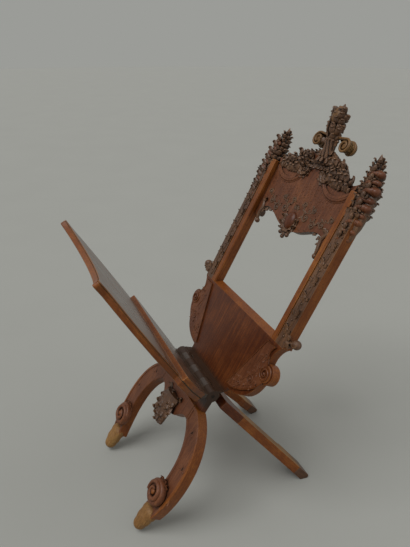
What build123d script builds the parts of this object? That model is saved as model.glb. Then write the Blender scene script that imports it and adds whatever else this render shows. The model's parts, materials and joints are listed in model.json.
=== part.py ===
from build123d import *
import math
import os

os.makedirs("parts", exist_ok=True)

# ---------------------------------------------------------------- driving dimensions (mm, degrees)
# Hinge line and the two crossing frames
hinge_y = -60.8            # hinge line, from the middle of the chair's depth
hinge_height = 314.0       # hinge line above the floor
back_slope = 61.5          # back above the horizontal
front_slope = 56.0         # front legs below the horizontal, leaning forward
seat_slope = 59.2          # seat above the horizontal, leaning forward
rear_slope = 50.8          # rear legs below the horizontal, leaning back
joint_gap = 0.15           # glue line between seated pieces

# Comb hinge
finger_count = 7
comb_width = 218.0
finger_gap = 0.6
knuckle_radius = 17.0
pin_radius = 5.0
pin_clearance = 0.05
bar_thickness = 16.0       # arms from the knuckles to the apron and to the rear rail
lip_gap = 1.0              # running gap between the boards' lips and the knuckles
lip_start = 15.0           # lip's first edge, from its board's slope
lip_width = 3.0            # flat of the lip's first edge
opening = 35.0             # how far the frames open from where they stand
board_relief = 17.0        # from the knuckles to the boards' full thickness
rail_relief = 30.0         # from the knuckles to the rail and the apron

# Lower back panel
panel_set = 26.0           # front face behind the hinge line
panel_thickness = 22.0
panel_height = 176.0       # from its lower edge to its shoulders
lobe_x = 206.0             # lobe centre, from the middle
lobe_height = 103.0        # lobe centre, above the panel's lower edge
lobe_radius = 25.0
bulge_height = 25.0        # widest turn of the lower curve, above the lower edge
border_thickness = 4.0
border_inset = 8.0
border_taper = 62.0        # how far the border's inner edge leans in towards the hinge
ear_radius = 12.0
ear_neck = 27.0            # ear centre, from the stile's side
ear_height = 27.0          # ear centre, above the shoulder
ear_thickness = 14.0

# Stiles and finials
stile_inner = 160.0
stile_width = 54.0
stile_thickness = 28.0
stile_length = 335.0
band_width = 20.0          # plain inner band
groove_width = 4.0
groove_depth = 2.5
finial_height = 142.0
finial_thickness = 44.0
finial_lean = 13.0         # how far its tip leans forward
foliage_reach = 12.0       # how far the foliage swells beyond the stile
foliage_drop = 72.0        # how far it hangs down the stile's side
leaf_radius = 11.0

# Crest
crest_thickness = 18.0
crest_setback = 16.0       # panel face behind the stile face
crest_rise = 245.0         # crest's lower edge, above the shoulders
crest_height = 152.0
crest_neck = 30.0          # middle of its top, above its sides
crest_arch = 14.0          # rise of its lower edge inside the brackets
crest_sag = 8.0            # fall of its lower edge in the middle
crest_ease = 2.0           # fall of its edges beside the middle
hollow_radius = 62.0       # moulded hollow curve
hollow_rise = 13.0         # its centre, above the crest's sides
hollow_overlap = 2.0       # how far it would run on past the stile's edge
moulding_width = 7.0
moulding_height = 4.0
bracket_radius = 11.0
pendant_drop = 46.0
stem_width = 48.0
plume_height = 134.0
plume_width = 62.0
plume_depth = 38.0
plume_lean = 22.0          # how far the bud's tip leans forward
volute_radius = 15.0
volute_reach = 36.0        # volute centre, from the stem's side
rosette_radius = 19.0
rosette_thickness = 9.0

# Apron and front legs
leg_set = 10.0             # back face of the front legs, behind the hinge line
leg_thickness = 30.0
leg_drop = 322.0           # leg's end, down the slope from the hinge line
leg_spread = 155.0         # middle of the leg's end, from the middle of the chair
leg_width = 50.0
leg_bow = 22.0             # how far the leg bows outwards beyond its foot
apron_width = 180.0
apron_height = 62.0
drop_width = 92.0
drop_height = 96.0
drop_thickness = 14.0
scroll_radius = 33.0
scroll_thickness = 24.0
scroll_rise = 60.0         # scroll centre, above the leg's end
toe_width = 54.0
toe_rounding = 22.0
toe_reach = 48.0           # toe's front, ahead of the hinge line

# Seat
seat_set = 20.0            # upper face under the hinge line
seat_thickness = 16.0
seat_length = 458.0        # from its lower edge to its front corners
seat_width = 410.0
seat_notch = 10.0          # step in its sides above the heel
front_dip = 46.0           # how far the front edge curves in between the corners
corner_neck = 22.0         # how far the sides draw in below the corners
corner_round = 6.0         # rounding of the front corners
heel_set = 8.0             # thick heel's upper face under the hinge line
heel_length = 151.0

# Rear legs
rear_thickness = 24.0
rail_height = 70.0
rear_flare = 0.19          # outward lean of the rear legs
rear_leg_width = 50.0
rear_foot_rise = 32.0      # top of the foot, above the floor
rear_round = 9.0

# ---------------------------------------------------------------- shared sizes and planes
board_edge = knuckle_radius + board_relief
rail_edge = knuckle_radius + rail_relief
lip_reach = knuckle_radius + lip_gap
comb_half = comb_width / 2
finger_pitch = comb_width / finger_count
finger_length = finger_pitch - finger_gap
stile_outer = stile_inner + stile_width
shoulder = board_edge + panel_height
stile_top = shoulder + stile_length
panel_back = panel_set + panel_thickness
seat_under_set = seat_set + seat_thickness
leg_face = leg_thickness - leg_set

back_angle = math.radians(back_slope)
front_angle = math.radians(front_slope)
seat_angle = math.radians(seat_slope)
rear_angle = math.radians(rear_slope)
hinge_point = (0, hinge_y, hinge_height)
back_along = (0, math.cos(back_angle), math.sin(back_angle))
back_facing = (0, -math.sin(back_angle), math.cos(back_angle))
front_along = (0, math.cos(front_angle), math.sin(front_angle))
front_facing = (0, -math.sin(front_angle), math.cos(front_angle))
seat_along = (0, -math.cos(seat_angle), math.sin(seat_angle))
seat_facing = (0, -math.sin(seat_angle), -math.cos(seat_angle))
rear_along = (0, math.cos(rear_angle), -math.sin(rear_angle))
rear_facing = (0, math.sin(rear_angle), math.cos(rear_angle))

# Each frame plane holds (across, along the slope), and its normal faces out of the board
back_plane = Plane(origin=hinge_point, x_dir=(1, 0, 0), z_dir=back_facing)
front_plane = Plane(origin=hinge_point, x_dir=(1, 0, 0), z_dir=front_facing)
seat_plane = Plane(origin=hinge_point, x_dir=(1, 0, 0), z_dir=seat_facing)
rear_plane = Plane(origin=hinge_point, x_dir=(1, 0, 0), z_dir=rear_facing)


def side_plane(across, along):
    """Plane square to the hinge line, with its X along a frame's slope."""
    return Plane(origin=(across, hinge_y, hinge_height), x_dir=along, z_dir=(1, 0, 0))


def finger_start(index):
    """Left end of one comb finger."""
    return index * finger_pitch - comb_half + finger_gap / 2


def round_knuckles(degrees, turn):
    """Point on the running gap round the knuckles, that far from a board's slope."""
    bearing = math.radians(degrees)
    return (lip_reach * math.cos(bearing), turn * lip_reach * math.sin(bearing))


def lip_end(free_angle):
    """Lip's last edge from its board's slope, clear of the other frame's arms when open."""
    return free_angle - math.degrees(math.asin((bar_thickness / 2 + lip_gap) / lip_reach))


def lip_corners(turn, face, back, free_angle):
    """Corners of the lip by which a board reaches round the knuckles, front edge first."""
    first = round_knuckles(lip_start, turn)
    return [
        first,
        (first[0] + lip_width, turn * face),
        (board_edge, turn * face),
        (board_edge, turn * back),
        round_knuckles(lip_end(free_angle), turn),
    ]


def lip_section(turn, face, back, free_angle):
    """Section of a board's lip, hollowed to clear the knuckles."""
    corners = lip_corners(turn, face, back, free_angle)
    middle = round_knuckles((lip_start + lip_end(free_angle)) / 2, turn)
    with BuildSketch() as section:
        with BuildLine():
            Polyline(*corners)
            ThreePointArc(corners[-1], middle, corners[0])
        make_face()
    return section.sketch


# ---------------------------------------------------------------- lower back panel with its comb
bulge_x = comb_half + (lobe_x - comb_half) * 0.7


def shield_half():
    """Right half of the lower panel's outline: bulging side, lobe and shoulder."""
    lobe_s = board_edge + lobe_height
    with BuildSketch() as outline:
        with BuildLine():
            Polyline((comb_half, board_edge), (0, board_edge), (0, shoulder), (stile_outer, shoulder))
            ThreePointArc(
                (stile_outer, shoulder),
                (lobe_x - lobe_radius / 3, shoulder - lobe_radius),
                (lobe_x, lobe_s),
            )
            Spline(
                (lobe_x, lobe_s),
                (bulge_x, board_edge + bulge_height),
                (comb_half, board_edge),
                tangents=[(0, -1), (-1, -0.12)],
            )
        make_face()
        with Locations((lobe_x, lobe_s)):
            Circle(lobe_radius)
    return outline.sketch


back_lip = (-1, panel_set, panel_back, back_slope + rear_slope - opening)

with BuildPart() as lower_panel:
    with BuildSketch(back_plane.offset(-panel_back)):
        add(shield_half())
    extrude(amount=panel_thickness)
    mirror(about=Plane.YZ)
    # sloped top edge between the stiles, level when the chair stands at rest
    with BuildSketch(side_plane(joint_gap - stile_inner, back_along)):
        Polygon(
            (shoulder, -panel_set),
            (shoulder, -panel_back),
            (shoulder + panel_thickness / math.tan(back_angle), -panel_back),
            align=None,
        )
    extrude(amount=2 * (stile_inner - joint_gap))
    with BuildSketch(side_plane(-comb_half, back_along)):
        add(lip_section(*back_lip))
    extrude(amount=comb_width)
    for index in range(0, finger_count, 2):
        with BuildSketch(side_plane(finger_start(index), back_along)):
            Circle(knuckle_radius)
            Polygon((0, 0), *lip_corners(*back_lip), align=None)
        extrude(amount=finger_length)
        with BuildSketch(side_plane(finger_start(index), front_along)):
            Rectangle(rail_edge - joint_gap, bar_thickness, align=(Align.MAX, Align.CENTER))
        extrude(amount=finger_length)
    with BuildSketch(side_plane(-comb_width, back_along)):
        Circle(pin_radius + pin_clearance)
    extrude(amount=2 * comb_width, mode=Mode.SUBTRACT)
lower_panel.part.label = "lower_panel"
export_step(lower_panel.part, "parts/lower_panel.step")

with BuildPart() as hinge_pin:
    with BuildSketch(side_plane(-comb_half, back_along)):
        Circle(pin_radius)
    extrude(amount=comb_width)
hinge_pin.part.label = "hinge_pin"
export_step(hinge_pin.part, "parts/hinge_pin.step")


def panel_border(side, name):
    """Low carved border on one side of the shield, from the hinge up to the stile's foot."""
    low = board_edge + border_inset
    high = shoulder - border_inset
    waist = lobe_x - lobe_radius / 3 - border_inset
    with BuildPart() as border:
        with BuildSketch(back_plane.offset(joint_gap - panel_set)):
            with BuildLine():
                Spline(
                    (comb_half, low),
                    (bulge_x - border_inset, board_edge + bulge_height + border_inset),
                    (lobe_x + border_inset, board_edge + lobe_height),
                    (waist, shoulder - lobe_radius),
                    (stile_outer - 2 * border_inset, high),
                )
                Polyline(
                    (stile_outer - 2 * border_inset, high),
                    (stile_inner, high),
                    (stile_inner - border_taper, low),
                    (comb_half, low),
                )
            make_face()
        extrude(amount=border_thickness)
        if side < 0:
            mirror(about=Plane.YZ, mode=Mode.REPLACE)
    border.part.label = name
    export_step(border.part, f"parts/{name}.step")


panel_border(-1, "left_panel_border")
panel_border(1, "right_panel_border")


def ear(side, name):
    """Small scroll at the foot of a stile: a disc with an eye, on a short neck."""
    centre = (stile_outer + ear_neck, shoulder + ear_height)
    with BuildPart() as scroll:
        with BuildSketch(back_plane.offset(-panel_set - ear_thickness)):
            with Locations(centre):
                Circle(ear_radius)
            with Locations((stile_outer + joint_gap, shoulder + ear_height)):
                Rectangle(ear_neck, ear_radius, align=(Align.MIN, Align.CENTER))
        extrude(amount=ear_thickness)
        with BuildSketch(back_plane.offset(-panel_set)):
            with Locations(centre):
                Circle(ear_radius * 0.4)
        extrude(amount=border_thickness / 2)
        if side < 0:
            mirror(about=Plane.YZ, mode=Mode.REPLACE)
    scroll.part.label = name
    export_step(scroll.part, f"parts/{name}.step")


ear(-1, "left_ear")
ear(1, "right_ear")


# ---------------------------------------------------------------- stiles and finials
def stile(side, name):
    """Post of the back: plain inner band, groove, and a carved outer band."""
    foot = shoulder + joint_gap
    with BuildPart() as post:
        with BuildSketch(back_plane.offset(-panel_set - stile_thickness)):
            with Locations((stile_inner, foot)):
                Rectangle(stile_width, stile_top - foot, align=(Align.MIN, Align.MIN))
        extrude(amount=stile_thickness)
        with BuildSketch(back_plane.offset(-panel_set)):
            with Locations((stile_inner + band_width, (foot + stile_top) / 2)):
                SlotOverall(stile_length * 0.92, groove_width, rotation=90)
        extrude(amount=-groove_depth, mode=Mode.SUBTRACT)
        inner_edges = post.edges().filter_by(Axis((0, 0, 0), back_along)).group_by(Axis.X)[0]
        chamfer(inner_edges, length=groove_depth)
        if side < 0:
            mirror(about=Plane.YZ, mode=Mode.REPLACE)
    post.part.label = name
    export_step(post.part, f"parts/{name}.step")


stile(-1, "left_stile")
stile(1, "right_stile")


def finial(side, name):
    """Leafy flame on a stile, swelling outwards and down the stile's side."""
    foot = stile_top + joint_gap
    flank = stile_outer + joint_gap
    middle = stile_inner + stile_width * 0.42
    with BuildPart() as flame:
        with BuildSketch(back_plane.offset(-panel_set - finial_thickness)):
            with BuildLine():
                Polyline(
                    (stile_inner, foot + finial_height * 0.3),
                    (stile_inner, foot),
                    (flank, foot),
                    (flank, foot - foliage_drop),
                )
                Spline(
                    (flank, foot - foliage_drop),
                    (flank + foliage_reach * 0.7, foot - foliage_drop * 0.3),
                    (flank + foliage_reach * 0.72, foot + finial_height * 0.3),
                    (stile_outer, foot + finial_height * 0.6),
                    (middle, foot + finial_height),
                )
                Spline(
                    (middle, foot + finial_height),
                    (stile_inner + leaf_radius * 0.7, foot + finial_height * 0.65),
                    (stile_inner, foot + finial_height * 0.3),
                    tangents=[(-0.3, -1), (0, -1)],
                )
            make_face()
            with Locations(
                (flank + foliage_reach - leaf_radius, foot - foliage_drop * 0.15),
                (flank + foliage_reach - leaf_radius, foot + finial_height * 0.33),
                (stile_outer, foot + finial_height * 0.58),
            ):
                Circle(leaf_radius)
            with Locations((flank, foot)):
                Rectangle(2 * stile_width, 2 * foliage_drop, align=(Align.MAX, Align.MAX), mode=Mode.SUBTRACT)
        extrude(amount=finial_thickness)
        with BuildSketch(side_plane(0, back_along)):
            Polygon(
                (foot - foliage_drop, -panel_set),
                (foot + finial_height * 0.4, -panel_set),
                (foot + finial_height, finial_lean - panel_set - finial_thickness * 0.4),
                (foot + finial_height, finial_lean - panel_set - finial_thickness * 0.6),
                (foot + finial_height * 0.4, -panel_set - finial_thickness),
                (foot - foliage_drop, -panel_set - finial_thickness),
                align=None,
            )
        extrude(amount=2 * stile_outer, mode=Mode.INTERSECT)
        if side < 0:
            mirror(about=Plane.YZ, mode=Mode.REPLACE)
    flame.part.label = name
    export_step(flame.part, f"parts/{name}.step")


finial(-1, "left_finial")
finial(1, "right_finial")

# ---------------------------------------------------------------- crest
crest_half = stile_inner - joint_gap
crest_low = shoulder + crest_rise
crest_top = crest_low + crest_height + crest_neck
crest_face = panel_set + crest_setback
crest_back = crest_face + crest_thickness
hollow_x = crest_half - hollow_radius + hollow_overlap
hollow_s = crest_low + crest_height + hollow_rise
rosette_x = crest_half * 0.28
neck_half = stem_width / 2 + crest_sag

with BuildPart() as crest_panel:
    with BuildSketch(back_plane.offset(-crest_back)):
        with BuildLine():
            Polyline(
                (crest_half, crest_low + crest_height),
                (crest_half, crest_low),
                (crest_half - bracket_radius, crest_low - bracket_radius),
            )
            Spline(
                (crest_half - bracket_radius, crest_low - bracket_radius),
                (crest_half * 0.7, crest_low + crest_arch),
                (crest_half * 0.38, crest_low - crest_ease),
                (0, crest_low - crest_sag),
            )
            Polyline((0, crest_low - crest_sag), (0, crest_top), (neck_half, crest_top))
            Spline(
                (neck_half, crest_top),
                (crest_half * 0.48, crest_top - crest_ease),
                (crest_half * 0.75, crest_low + crest_height - 3 * crest_ease),
                (crest_half, crest_low + crest_height),
            )
        make_face()
        with Locations((crest_half - bracket_radius, crest_low - bracket_radius)):
            Circle(bracket_radius)
        with Locations((crest_half - 1.6 * bracket_radius, crest_low + 1.6 * bracket_radius)):
            Circle(bracket_radius / 2, mode=Mode.SUBTRACT)
    extrude(amount=crest_thickness)
    # moulded hollow curve, standing proud of the face
    with BuildSketch(back_plane.offset(-crest_face)):
        with Locations((hollow_x, hollow_s)):
            Circle(hollow_radius + moulding_width / 2)
            Circle(hollow_radius - moulding_width / 2, mode=Mode.SUBTRACT)
        with Locations((rosette_x + rosette_radius + joint_gap, crest_low)):
            Rectangle(crest_half, crest_height - moulding_width, align=(Align.MIN, Align.MIN), mode=Mode.INTERSECT)
        with Locations((crest_half, crest_low)):
            Rectangle(crest_half, crest_height, align=(Align.MIN, Align.MIN), mode=Mode.SUBTRACT)
    extrude(amount=moulding_height)
    mirror(about=Plane.YZ)
crest_panel.part.label = "crest_panel"
export_step(crest_panel.part, "parts/crest_panel.step")

with BuildPart() as crest_pendant:
    with BuildSketch(back_plane.offset(joint_gap - crest_face)):
        with BuildLine():
            Spline(
                (0, crest_low - pendant_drop),
                (stem_width * 0.55, crest_low - pendant_drop * 0.3),
                (stem_width * 0.5, crest_low + pendant_drop * 0.6),
                (0, crest_low + pendant_drop),
            )
            Line((0, crest_low + pendant_drop), (0, crest_low - pendant_drop))
        make_face()
    extrude(amount=rosette_thickness)
    mirror(about=Plane.YZ)
crest_pendant.part.label = "crest_pendant"
export_step(crest_pendant.part, "parts/crest_pendant.step")

plume_foot = crest_top + joint_gap
plume_middle = crest_face + crest_thickness / 2
volute_s = plume_foot + 0.26 * plume_height


def plume_ring(height, across, deep):
    """Oval section of the plume's bud at one height."""
    place = (0, plume_foot + plume_height * height, plume_lean * height - plume_middle)
    centre = (back_plane * Location(place)).position
    with BuildSketch(Plane(origin=centre, x_dir=(1, 0, 0), z_dir=back_along)) as ring:
        Ellipse(plume_width / 2 * across, plume_depth / 2 * deep)
    return ring.sketch


with BuildPart() as crest_plume:
    with BuildSketch(back_plane.offset(-crest_back)):
        with Locations((0, plume_foot)):
            Rectangle(stem_width, plume_height * 0.42, align=(Align.CENTER, Align.MIN))
    extrude(amount=crest_thickness)
    loft(
        sections=[
            plume_ring(0.36, 0.6, 0.6),
            plume_ring(0.52, 1.0, 1.0),
            plume_ring(0.74, 0.94, 1.0),
            plume_ring(0.88, 0.5, 0.6),
            plume_ring(1.0, 0.08, 0.1),
        ]
    )
crest_plume.part.label = "crest_plume"
export_step(crest_plume.part, "parts/crest_plume.step")


def volute(side, name):
    """Curled scroll beside the plume's stem: a disc with an eye, on a neck."""
    centre = (stem_width / 2 + volute_reach, volute_s)
    with BuildPart() as curl:
        with BuildSketch(back_plane.offset(-crest_back)):
            with Locations(centre):
                Circle(volute_radius)
            with BuildLine():
                Polyline(
                    (centre[0], centre[1] + volute_radius),
                    (stem_width / 2 + joint_gap, volute_s + volute_radius),
                    (stem_width / 2 + joint_gap, volute_s),
                    centre,
                    (centre[0], centre[1] + volute_radius),
                )
            make_face()
        extrude(amount=crest_thickness)
        with BuildSketch(back_plane.offset(-crest_face)):
            with Locations(centre):
                Circle(volute_radius * 0.4)
        extrude(amount=border_thickness / 2)
        if side < 0:
            mirror(about=Plane.YZ, mode=Mode.REPLACE)
    curl.part.label = name
    export_step(curl.part, f"parts/{name}.step")


volute(-1, "left_volute")
volute(1, "right_volute")


def rosette(side, name):
    """Round flower on the crest's face, a dished boss inside a ring of petals."""
    petals = 8
    centre = (rosette_x, crest_low + crest_height - rosette_radius * 0.6)
    with BuildPart() as flower:
        with BuildSketch(back_plane.offset(joint_gap - crest_face)):
            with Locations(centre):
                Circle(rosette_radius * 0.72)
                with PolarLocations(rosette_radius * 0.7, petals):
                    Circle(rosette_radius * 0.3)
        extrude(amount=rosette_thickness)
        with BuildSketch(back_plane.offset(rosette_thickness - crest_face)):
            with Locations(centre):
                Circle(rosette_radius * 0.5)
                Circle(rosette_radius * 0.2, mode=Mode.SUBTRACT)
        extrude(amount=-rosette_thickness / 3, mode=Mode.SUBTRACT)
        if side < 0:
            mirror(about=Plane.YZ, mode=Mode.REPLACE)
    flower.part.label = name
    export_step(flower.part, f"parts/{name}.step")


rosette(-1, "left_rosette")
rosette(1, "right_rosette")

# ---------------------------------------------------------------- apron and front legs
apron_half = apron_width / 2
apron_foot = -rail_edge - apron_height

with BuildPart() as apron:
    with BuildSketch(front_plane.offset(-leg_set)):
        with BuildLine():
            Polyline(
                (0, apron_foot),
                (0, -rail_edge),
                (apron_half, -rail_edge),
                (apron_half, apron_foot + apron_height * 0.35),
            )
            Spline(
                (apron_half, apron_foot + apron_height * 0.35),
                (apron_half * 0.66, apron_foot + apron_height * 0.2),
                (drop_width / 2, apron_foot),
                (0, apron_foot),
            )
        make_face()
    extrude(amount=leg_thickness)
    mirror(about=Plane.YZ)
apron.part.label = "apron"
export_step(apron.part, "parts/apron.step")

with BuildPart() as apron_drop:
    with BuildSketch(front_plane.offset(leg_face + joint_gap)):
        with BuildLine():
            Line((0, apron_foot + apron_height * 0.7), (drop_width / 2, apron_foot + apron_height * 0.6))
            Spline(
                (drop_width / 2, apron_foot + apron_height * 0.6),
                (drop_width * 0.36, apron_foot + apron_height * 0.3),
                (drop_width / 2, apron_foot),
                (drop_width * 0.44, apron_foot - drop_height * 0.4),
                (0, apron_foot + apron_height * 0.6 - drop_height),
            )
            Line(
                (0, apron_foot + apron_height * 0.6 - drop_height),
                (0, apron_foot + apron_height * 0.7),
            )
        make_face()
    extrude(amount=drop_thickness)
    mirror(about=Plane.YZ)
apron_drop.part.label = "apron_drop"
export_step(apron_drop.part, "parts/apron_drop.step")


def front_leg(side, name):
    """Arched leg: springs sideways from the apron and turns down to its foot."""
    flank = apron_half + joint_gap
    outer_foot = leg_spread + leg_width / 2
    inner_foot = leg_spread - leg_width / 2
    fall = leg_drop - rail_edge
    with BuildPart() as leg:
        with BuildSketch(front_plane.offset(-leg_set)):
            with BuildLine():
                Polyline((flank, apron_foot + apron_height * 0.35), (flank, -rail_edge), (comb_half, -rail_edge))
                Spline(
                    (comb_half, -rail_edge),
                    (outer_foot - leg_width * 0.1, -rail_edge - fall * 0.2),
                    (outer_foot + leg_bow, -rail_edge - fall * 0.58),
                    (outer_foot, -leg_drop),
                )
                Line((outer_foot, -leg_drop), (inner_foot, -leg_drop))
                Spline(
                    (inner_foot, -leg_drop),
                    (inner_foot + leg_bow * 0.75, -rail_edge - fall * 0.66),
                    (inner_foot + leg_bow * 0.3, -rail_edge - fall * 0.36),
                    (flank, apron_foot + apron_height * 0.35),
                )
            make_face()
        extrude(amount=leg_thickness)
        if side < 0:
            mirror(about=Plane.YZ, mode=Mode.REPLACE)
    leg.part.label = name
    export_step(leg.part, f"parts/{name}.step")


front_leg(-1, "left_front_leg")
front_leg(1, "right_front_leg")


def leg_scroll(side, name):
    """Spiral boss on the foot of a front leg, stepped down towards its eye."""
    centre = (leg_spread, scroll_rise - leg_drop)
    with BuildPart() as boss:
        with BuildSketch(front_plane.offset(leg_face + joint_gap)):
            with Locations(centre):
                Circle(scroll_radius)
        extrude(amount=scroll_thickness)
        with BuildSketch(front_plane.offset(leg_face + scroll_thickness)):
            with Locations(centre):
                Circle(scroll_radius * 0.75)
                Circle(scroll_radius * 0.35, mode=Mode.SUBTRACT)
        extrude(amount=-scroll_thickness / 4, mode=Mode.SUBTRACT)
        if side < 0:
            mirror(about=Plane.YZ, mode=Mode.REPLACE)
    boss.part.label = name
    export_step(boss.part, f"parts/{name}.step")


leg_scroll(-1, "left_leg_scroll")
leg_scroll(1, "right_leg_scroll")


def on_floor(facing):
    """Point on the floor, (along, facing) in the front legs' side plane, that far in front."""
    return (-(hinge_height + facing * math.cos(front_angle)) / math.sin(front_angle), facing)


def toe(side, name):
    """Rounded toe under the leg's end, reaching forward past the scroll."""
    top = -leg_drop - joint_gap
    height = top - on_floor(0)[0]
    with BuildPart() as block:
        with BuildSketch(side_plane(leg_spread - toe_width / 2, front_along)):
            with BuildLine():
                Polyline((top, toe_reach), (top, -leg_set), on_floor(-leg_set), on_floor(0))
                Spline(
                    on_floor(0),
                    (top - height * 0.78, leg_face),
                    (top - height * 0.35, toe_reach * 0.94),
                    (top, toe_reach),
                    tangents=[(0.1, 1), (1, 0)],
                )
            make_face()
        extrude(amount=toe_width)
        with BuildSketch(front_plane.offset(-leg_set)):
            with Locations((leg_spread, on_floor(0)[0])):
                RectangleRounded(toe_width, 2 * height, toe_rounding, align=(Align.CENTER, Align.MIN))
        extrude(amount=leg_set + toe_reach, mode=Mode.INTERSECT)
        if side < 0:
            mirror(about=Plane.YZ, mode=Mode.REPLACE)
    block.part.label = name
    export_step(block.part, f"parts/{name}.step")


toe(-1, "left_toe")
toe(1, "right_toe")

# ---------------------------------------------------------------- seat with its comb
seat_half = seat_width / 2
seat_front = board_edge + seat_length
heel_end = board_edge + heel_length
corner_x = seat_half - seat_notch


def seat_outline():
    """Right half of the seat's outline: heel, stepped side, front corner and hollow front edge."""
    neck = (seat_half - corner_neck, seat_front - front_dip)
    with BuildSketch() as outline:
        with BuildLine():
            Polyline((0, seat_front - front_dip), (0, board_edge), (comb_half, board_edge))
            Spline(
                (comb_half, board_edge),
                (seat_half * 0.8, board_edge + heel_length * 0.36),
                (seat_half, heel_end),
                tangents=[(1, 0.2), (0, 1)],
            )
            Line((seat_half, heel_end), (corner_x, heel_end + seat_notch))
            Spline((corner_x, heel_end + seat_notch), (seat_half, board_edge + seat_length * 0.62), neck)
            ThreePointArc(neck, (neck[0] + seat_notch * 0.3, neck[1] + front_dip * 0.4), (corner_x, seat_front))
            Spline(
                (corner_x, seat_front),
                (seat_half * 0.55, seat_front - front_dip * 0.75),
                (0, seat_front - front_dip),
                tangents=[(-1, -0.9), (-1, 0)],
            )
        make_face()
        fillet(outline.vertices().sort_by(Axis.Y)[-1], radius=corner_round)
    return outline.sketch


seat_lip = (1, heel_set, seat_under_set, seat_slope + front_slope - opening)

with BuildPart() as seat_board:
    with BuildSketch(seat_plane.offset(seat_set)):
        add(seat_outline())
    extrude(amount=seat_thickness)
    with BuildSketch(seat_plane.offset(heel_set)):
        add(seat_outline())
        with Locations((0, board_edge)):
            Rectangle(seat_half, heel_length, align=(Align.MIN, Align.MIN), mode=Mode.INTERSECT)
    extrude(amount=seat_set - heel_set)
    mirror(about=Plane.YZ)
    with BuildSketch(side_plane(-comb_half, seat_along)):
        add(lip_section(*seat_lip))
    extrude(amount=comb_width)
    for index in range(1, finger_count, 2):
        with BuildSketch(side_plane(finger_start(index), seat_along)):
            Circle(knuckle_radius)
            Polygon((0, 0), *lip_corners(*seat_lip), align=None)
        extrude(amount=finger_length)
        with BuildSketch(side_plane(finger_start(index), rear_along)):
            Rectangle(rail_edge - joint_gap, bar_thickness, align=(Align.MIN, Align.CENTER))
        extrude(amount=finger_length)
    with BuildSketch(side_plane(-comb_width, seat_along)):
        Circle(pin_radius + pin_clearance)
    extrude(amount=2 * comb_width, mode=Mode.SUBTRACT)
seat_board.part.label = "seat_board"
export_step(seat_board.part, "parts/seat_board.step")

# ---------------------------------------------------------------- rear rail, legs and feet
rail_foot = rail_edge + rail_height
rail_half = comb_half + rail_height * rear_flare
foot_seat = (hinge_height - rear_foot_rise) / math.sin(rear_angle)

with BuildPart() as rear_rail:
    with BuildSketch(rear_plane.offset(-rear_thickness / 2)):
        with BuildLine():
            Polyline(
                (0, rail_foot - rail_height * 0.3),
                (0, rail_edge),
                (comb_half, rail_edge),
                (rail_half, rail_foot),
                (rail_half - rear_leg_width, rail_foot),
            )
            ThreePointArc(
                (rail_half - rear_leg_width, rail_foot),
                (rail_half * 0.4, rail_foot - rail_height * 0.22),
                (0, rail_foot - rail_height * 0.3),
            )
        make_face()
    extrude(amount=rear_thickness)
    mirror(about=Plane.YZ)
rear_rail.part.label = "rear_rail"
export_step(rear_rail.part, "parts/rear_rail.step")


def flank_at(drop):
    """Outer edge of a rear leg, that far down the slope."""
    return comb_half + (drop - rail_edge) * rear_flare


def rear_leg(side, name):
    """Flat straight leg that leans outwards and steps wider above its foot."""
    head = rail_foot + joint_gap
    step = foot_seat - rear_leg_width * 1.2
    with BuildPart() as leg:
        with BuildSketch(rear_plane.offset(-rear_thickness / 2)):
            Polygon(
                (flank_at(head), head),
                (flank_at(foot_seat), foot_seat),
                (flank_at(foot_seat) - rear_leg_width * 1.15, foot_seat),
                (flank_at(step) - rear_leg_width * 1.2, step + rear_leg_width * 0.2),
                (flank_at(step) - rear_leg_width, step),
                (flank_at(head) - rear_leg_width, head),
                align=None,
            )
        extrude(amount=rear_thickness)
        if side < 0:
            mirror(about=Plane.YZ, mode=Mode.REPLACE)
    leg.part.label = name
    export_step(leg.part, f"parts/{name}.step")


rear_leg(-1, "left_rear_leg")
rear_leg(1, "right_rear_leg")


def under_foot(facing):
    """Point on the floor, (along, facing) in the rear legs' side plane."""
    return ((hinge_height + facing * math.cos(rear_angle)) / math.sin(rear_angle), facing)


def rear_foot(side, name):
    """Worn foot under a rear leg: rounded at the back and cut level with the floor."""
    seat = foot_seat + joint_gap
    half = rear_thickness / 2
    drop = under_foot(half)[0]
    with BuildPart() as foot:
        with BuildSketch(rear_plane.offset(-half)):
            Polygon(
                (flank_at(seat), seat),
                (flank_at(drop), drop),
                (flank_at(drop) - rear_leg_width * 1.1, drop),
                (flank_at(seat) - rear_leg_width * 1.15, seat),
                align=None,
            )
        extrude(amount=rear_thickness)
        with BuildSketch(side_plane(0, rear_along)):
            with BuildLine():
                Polyline(under_foot(-half), (seat, -half), (seat, half), (drop - 2 * rear_round, half))
                ThreePointArc(
                    (drop - 2 * rear_round, half),
                    (drop - rear_round, half - rear_round * 0.3),
                    under_foot(half - rear_round),
                )
                Line(under_foot(half - rear_round), under_foot(-half))
            make_face()
        extrude(amount=seat_width, mode=Mode.INTERSECT)
        if side < 0:
            mirror(about=Plane.YZ, mode=Mode.REPLACE)
    foot.part.label = name
    export_step(foot.part, f"parts/{name}.step")


rear_foot(-1, "left_rear_foot")
rear_foot(1, "right_rear_foot")
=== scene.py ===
"""Dresses the frame of a folding plank chair in carved and polished walnut, and sets its stage."""

import json
import math
import random
from collections import namedtuple
from functools import partial

import bmesh
import bpy
from mathutils import Matrix, Vector


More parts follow.
